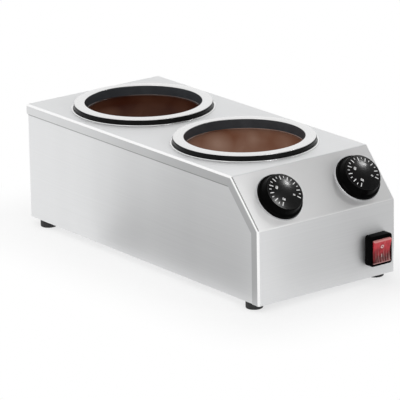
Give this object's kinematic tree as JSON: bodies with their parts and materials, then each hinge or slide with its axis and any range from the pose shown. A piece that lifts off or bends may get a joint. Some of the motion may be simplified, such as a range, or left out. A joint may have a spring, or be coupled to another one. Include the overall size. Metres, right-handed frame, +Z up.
{
  "type": "chocolate melting machine",
  "caption": "Countertop chocolate melter: bent stainless housing with lift-out round pots in heated wells, thermostat dials on a sloping panel and a lit rocker switch.",
  "frame": {"origin": "on the table under the middle of the housing, switch and cord gland included", "axes": "+X to the right seen from the control end, +Y from the control end to the rear, +Z up"},
  "size_m": [0.2, 0.4822, 0.1575],
  "materials": {
    "brushed_steel": "horizontally brushed stainless sheet",
    "polished_steel": "polished bright ring",
    "pot_metal": "bright rim, dark grey non-stick lining",
    "well_aluminium": "plain drawn aluminium",
    "zinc_plate": "zinc-plated sheet",
    "zinc_fastener": "zinc-plated screw",
    "rubber": "matt black rubber",
    "black_seal": "satin black heat-proof ring",
    "black_plastic": "glossy black moulded plastic",
    "red_lens": "clear red moulded lens",
    "milk_chocolate": "melted milk chocolate",
    "dark_chocolate": "melted dark chocolate",
    "mica_band": "mica heater band",
    "copper_sensor": "drawn copper tube",
    "wire_sleeve": "silicone wire sleeve",
    "gland_plastic": "matt black nylon",
    "terminal_ceramic": "white porcelain"
  },
  "bodies": {
    "housing": {"top_cover": "brushed_steel", "body_casing": "brushed_steel", "base_plate": "zinc_plate", "foot_front_left": "rubber", "foot_rear_left": "rubber", "foot_front_right": "rubber", "foot_rear_right": "rubber", "foot_screw_front_left": "zinc_fastener", "foot_screw_rear_left": "zinc_fastener", "foot_screw_front_right": "zinc_fastener", "foot_screw_rear_right": "zinc_fastener", "base_screw_front_left": "zinc_fastener", "base_screw_rear_left": "zinc_fastener", "base_screw_front_right": "zinc_fastener", "base_screw_rear_right": "zinc_fastener", "cover_screw_left": "zinc_fastener", "cover_screw_right": "zinc_fastener", "well_front": "well_aluminium", "heater_band_front": "mica_band", "band_screw_front": "zinc_fastener", "well_bracket_front": "zinc_plate", "bulb_clip_front": "zinc_plate", "rim_seal_front": "black_seal", "collar_front": "polished_steel", "well_rear": "well_aluminium", "heater_band_rear": "mica_band", "band_screw_rear": "zinc_fastener", "well_bracket_rear": "zinc_plate", "bulb_clip_rear": "zinc_plate", "rim_seal_rear": "black_seal", "collar_rear": "polished_steel", "dial_bezel_left": "polished_steel", "thermostat_left": "zinc_plate", "thermostat_screw_left_inner": "zinc_fastener", "thermostat_screw_left_outer": "zinc_fastener", "thermostat_sensor_left": "copper_sensor", "heater_wire_left": "wire_sleeve", "dial_bezel_right": "polished_steel", "thermostat_right": "zinc_plate", "thermostat_screw_right_inner": "zinc_fastener", "thermostat_screw_right_outer": "zinc_fastener", "thermostat_sensor_right": "copper_sensor", "heater_wire_right": "wire_sleeve", "switch_body": "black_plastic", "switch_wire": "wire_sleeve", "cord_gland": "gland_plastic", "gland_nut": "gland_plastic", "terminal_block": "terminal_ceramic", "terminal_screw": "zinc_fastener"},
    "front_pot": {"pot_front": "pot_metal", "chocolate_front": "milk_chocolate"},
    "rear_pot": {"pot_rear": "pot_metal", "chocolate_rear": "dark_chocolate"},
    "left_knob": {"knob_left": "black_plastic", "thermostat_shaft_left": "zinc_plate"},
    "right_knob": {"knob_right": "black_plastic", "thermostat_shaft_right": "zinc_plate"},
    "rocker": {"switch_rocker": "red_lens"}
  },
  "joints": [
    {"name": "front_pot_lift", "type": "slide", "parent": "housing", "child": "front_pot", "axis": [0, 0, 1], "range_m": [0, 0.125]},
    {"name": "rear_pot_lift", "type": "slide", "parent": "housing", "child": "rear_pot", "axis": [0, 0, 1], "range_m": [0, 0.125]},
    {"name": "left_knob_turn", "type": "hinge", "parent": "housing", "child": "left_knob", "pos_m": [-0.0515, -0.20251, 0.12152], "axis": [0, 0.7423, -0.67], "range_deg": [0, 270]},
    {"name": "right_knob_turn", "type": "hinge", "parent": "housing", "child": "right_knob", "pos_m": [0.0625, -0.20251, 0.12152], "axis": [0, 0.7423, -0.67], "range_deg": [0, 270]},
    {"name": "rocker_press", "type": "hinge", "parent": "housing", "child": "rocker", "pos_m": [0.071, -0.2345, 0.0424], "axis": [1, 0, 0], "range_deg": [-18, 0]}
  ]
}
